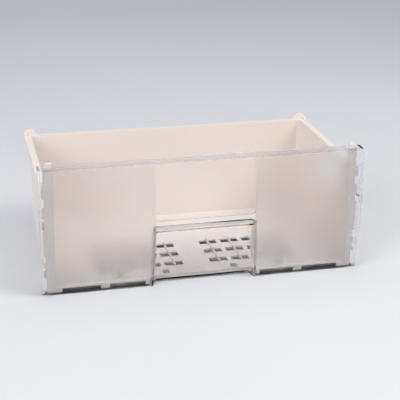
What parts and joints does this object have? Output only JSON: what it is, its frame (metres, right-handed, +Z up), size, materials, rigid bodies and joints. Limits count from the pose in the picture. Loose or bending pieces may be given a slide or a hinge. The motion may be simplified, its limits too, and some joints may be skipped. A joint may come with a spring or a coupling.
{
  "type": "freezer drawer",
  "caption": "Shallow freezer drawer with side runner rails, vent slots in its floor and a clear bowed front panel with a grip bar over a finger scoop.",
  "frame": {"origin": "centre of the drawer's outer box, on the surface that it stands on", "axes": "+X to the right seen from the front, +Y from the front panel to the rear wall, +Z up"},
  "size_m": [0.4006, 0.2202, 0.168],
  "materials": {
    "bin": "warm white polystyrene, satin from the mould",
    "front_panel": "clear polystyrene, frosted left and right of the middle"
  },
  "bodies": {
    "root": {"bin": "bin", "front_panel": "front_panel"}
  },
  "joints": []
}
